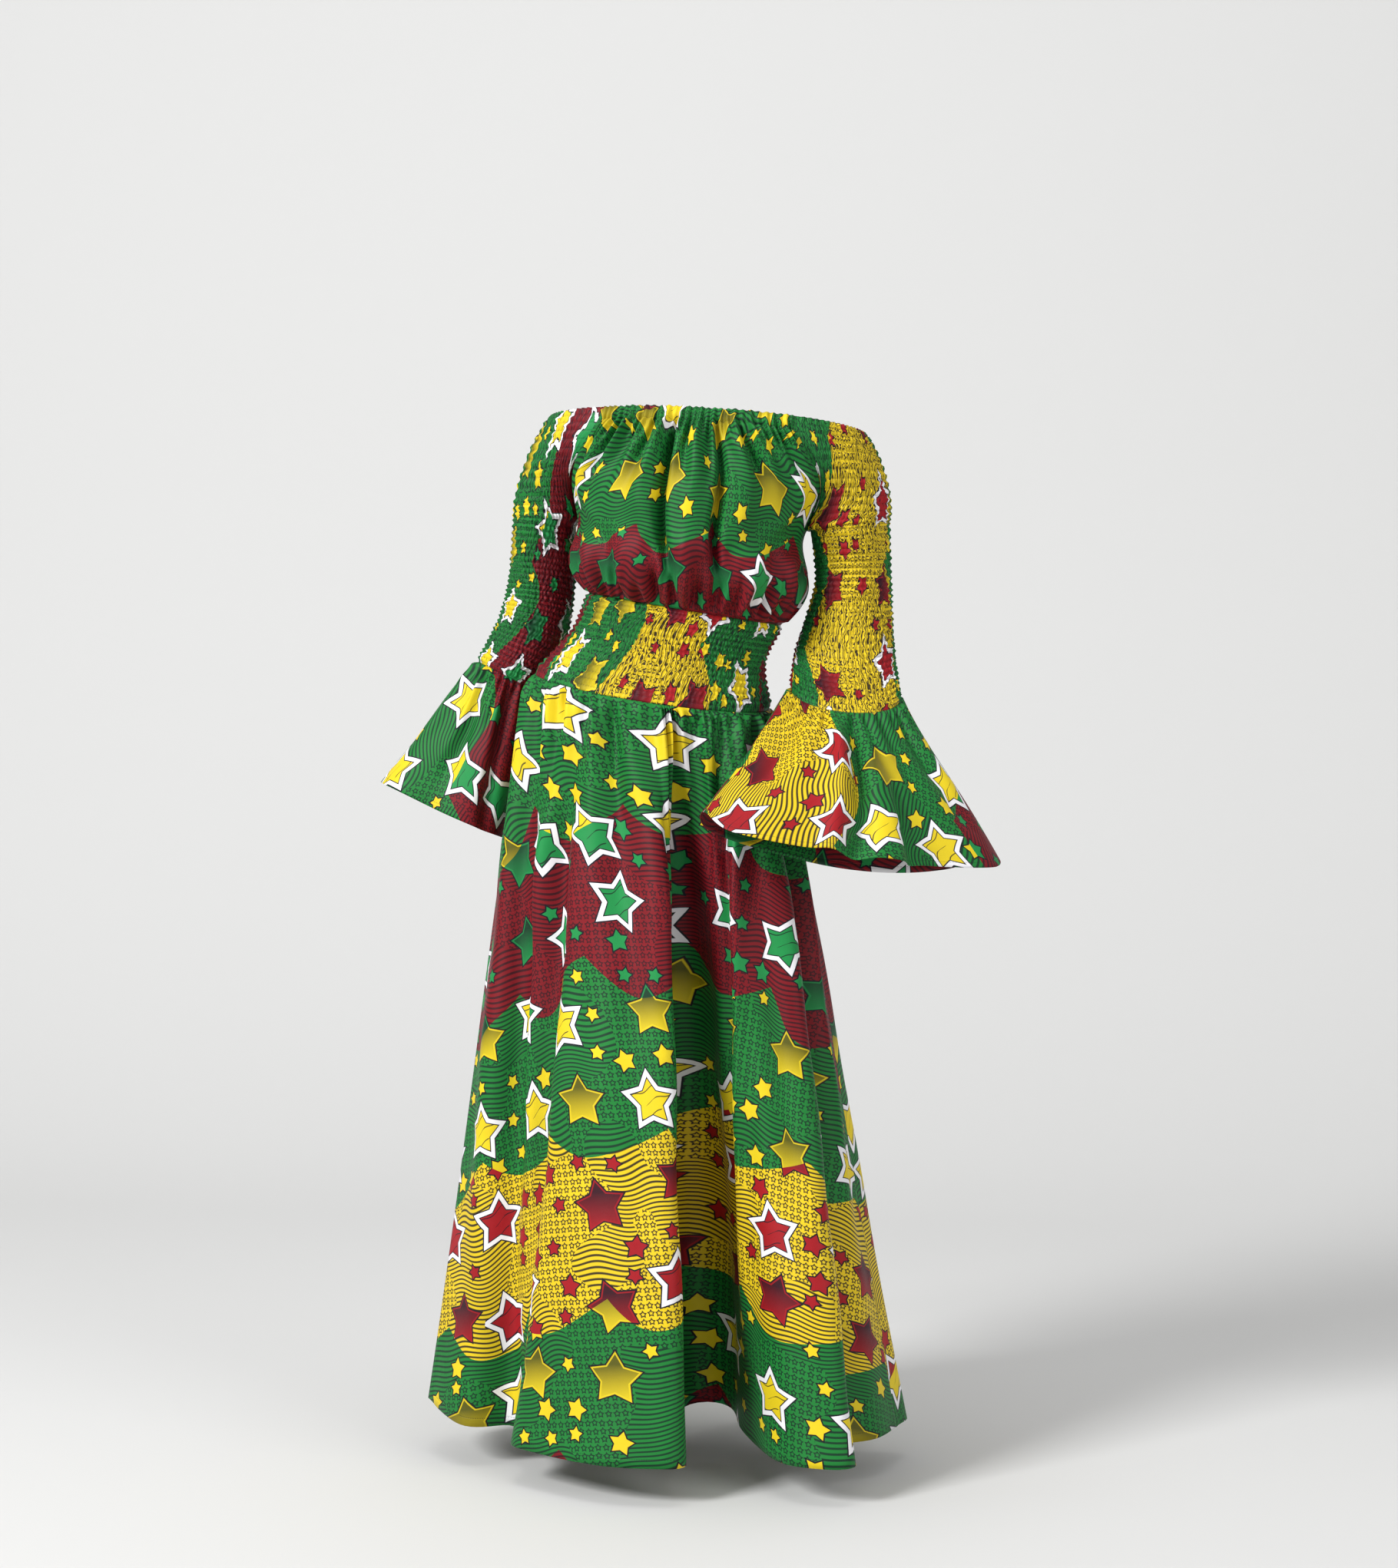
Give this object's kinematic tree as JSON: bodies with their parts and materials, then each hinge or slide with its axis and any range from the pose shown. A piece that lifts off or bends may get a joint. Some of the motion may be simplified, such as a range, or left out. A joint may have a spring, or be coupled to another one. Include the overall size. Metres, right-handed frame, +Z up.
{
  "type": "ankara wax print dress",
  "caption": "Long off-the-shoulder wax print dress with shirred waist and sleeves, flared bell cuffs and a full gathered skirt, in its worn form.",
  "frame": {"origin": "middle of the elastic neckline, where the dress is held", "axes": "+Z up to the wearer's head, the front faces -Y, +X towards the wearer's left"},
  "size_m": [0.8782, 0.5183, 1.3896],
  "materials": {
    "bodice_front": "waxed printed cotton, mostly green with yellow stars",
    "bodice_back": "waxed printed cotton, mostly green with yellow stars",
    "waistband": "shirred printed cotton, yellow and green",
    "skirt_front": "waxed printed cotton in green, yellow and dark red zones",
    "skirt_back": "waxed printed cotton in green, yellow and dark red zones",
    "sleeve_left": "shirred printed cotton, mostly yellow",
    "sleeve_right": "shirred printed cotton, green and dark red",
    "bell_cuff_left": "printed cotton, yellow and green",
    "bell_cuff_right": "printed cotton, green and dark red"
  },
  "bodies": {
    "root": {"bodice_front": "bodice_front", "bodice_back": "bodice_back", "waistband": "waistband", "skirt_front": "skirt_front", "skirt_back": "skirt_back", "sleeve_left": "sleeve_left", "sleeve_right": "sleeve_right", "bell_cuff_left": "bell_cuff_left", "bell_cuff_right": "bell_cuff_right"}
  },
  "joints": []
}
